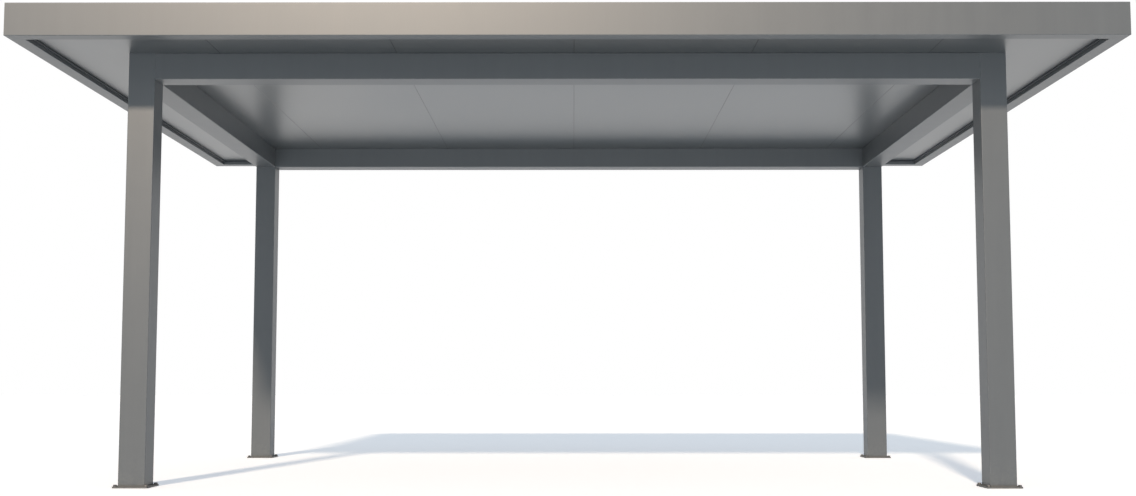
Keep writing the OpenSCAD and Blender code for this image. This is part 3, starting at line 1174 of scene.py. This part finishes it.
def light_or_look(tree, output, for_light, for_look):
    """One shader for the rays that carry light, another for those that are looked along.

    The second are the camera's own rays and the rays off gloss or through glass."""
    path = add_node(tree, "ShaderNodeLightPath")
    seen = calculate(tree, "MAXIMUM", path.outputs["Is Camera Ray"], path.outputs["Is Glossy Ray"])
    seen = calculate(tree, "MAXIMUM", seen, path.outputs["Is Transmission Ray"])
    choice = add_node(tree, "ShaderNodeMixShader")
    tree.links.new(seen, choice.inputs["Fac"])
    tree.links.new(for_light.outputs[0], choice.inputs[1])
    tree.links.new(for_look.outputs[0], choice.inputs[2])
    tree.links.new(choice.outputs[0], output.inputs["Surface"])


def coloured(tree, kind, colour):
    """A shader node with its colour."""
    made = add_node(tree, kind)
    made.inputs["Color"].default_value = colour
    return made


def build_floor():
    """A pale floor. To the eye it is near white where lit and keeps the soft shadow; to the rest
    of the light it is a plain pale grey."""
    mesh = bpy.data.meshes.new("floor")
    corners = [(x * FLOOR_REACH, y * FLOOR_REACH, 0) for x, y in CORNER_WAYS]
    mesh.from_pydata(corners, [], [(0, 1, 2, 3)])
    floor = placed("floor", mesh)
    material = bpy.data.materials.new("pale_floor")
    tree = emptied(material)
    output = add_node(tree, "ShaderNodeOutputMaterial")
    plain = coloured(tree, "ShaderNodeBsdfDiffuse", FLOOR_PLAIN)
    shade = coloured(tree, "ShaderNodeBsdfDiffuse", FLOOR_LOOK)
    glow = coloured(tree, "ShaderNodeEmission", FLOOR_GLOW)
    both = add_node(tree, "ShaderNodeAddShader")
    tree.links.new(shade.outputs[0], both.inputs[0])
    tree.links.new(glow.outputs[0], both.inputs[1])
    light_or_look(tree, output, plain, both)
    mesh.materials.append(material)
    floor.visible_shadow = False


def far_lamp(name, way, strength, colour, angle):
    """A lamp whose light travels one way everywhere, as soft as its angle in degrees."""
    lamp = bpy.data.lights.new(name, "SUN")
    lamp.energy = strength
    lamp.color = colour
    lamp.angle = math.radians(angle)
    holder = placed(name, lamp)
    holder.rotation_euler = Vector(way).to_track_quat("-Z", "Y").to_euler()
    return holder


def build_light():
    """A warm key, a lamp that only adds to its highlight, cool fills from both ends, a pale sky."""
    far_lamp("key", SUN_WAY, SUN_STRENGTH, SUN_COLOUR, KEY_ANGLE)
    highlight = far_lamp("highlight", SUN_WAY, HIGHLIGHT_STRENGTH, HIGHLIGHT_COLOUR, KEY_ANGLE)
    highlight.visible_diffuse = False
    fill = far_lamp("fill", FILL_WAY, FILL_STRENGTH, FILL_COLOUR, FILL_ANGLE)
    fill.visible_glossy = False
    back_fill = far_lamp("back_fill", BACK_FILL_WAY, BACK_FILL_STRENGTH, FILL_COLOUR, BACK_FILL_ANGLE)
    back_fill.visible_glossy = False
    world = bpy.data.worlds.new("studio")
    bpy.context.scene.world = world
    tree = emptied(world)
    output = add_node(tree, "ShaderNodeOutputWorld")
    sky = coloured(tree, "ShaderNodeBackground", SKY)
    white = coloured(tree, "ShaderNodeBackground", WHITE)
    light_or_look(tree, output, sky, white)


def build_camera():
    """A low view from the front, almost square on, looking slightly up."""
    lens = bpy.data.cameras.new("view")
    lens.lens = LENS_MM
    lens.sensor_width = SENSOR_MM
    lens.shift_x = LENS_SHIFT_X
    lens.shift_y = LENS_SHIFT_Y
    lens.clip_end = CAMERA_REACH
    camera = placed("view", lens)
    camera.location = CAMERA_PLACE
    camera.rotation_euler = (math.radians(CAMERA_TILT), 0, math.radians(CAMERA_TURN))
    bpy.context.scene.camera = camera


build_posts()
build_beams()
build_roof_edge()
build_roof()
build_flashings()
build_drain()
build_outlet()
build_floor()
build_light()
build_camera()
bpy.context.scene.view_settings.view_transform = "Standard"
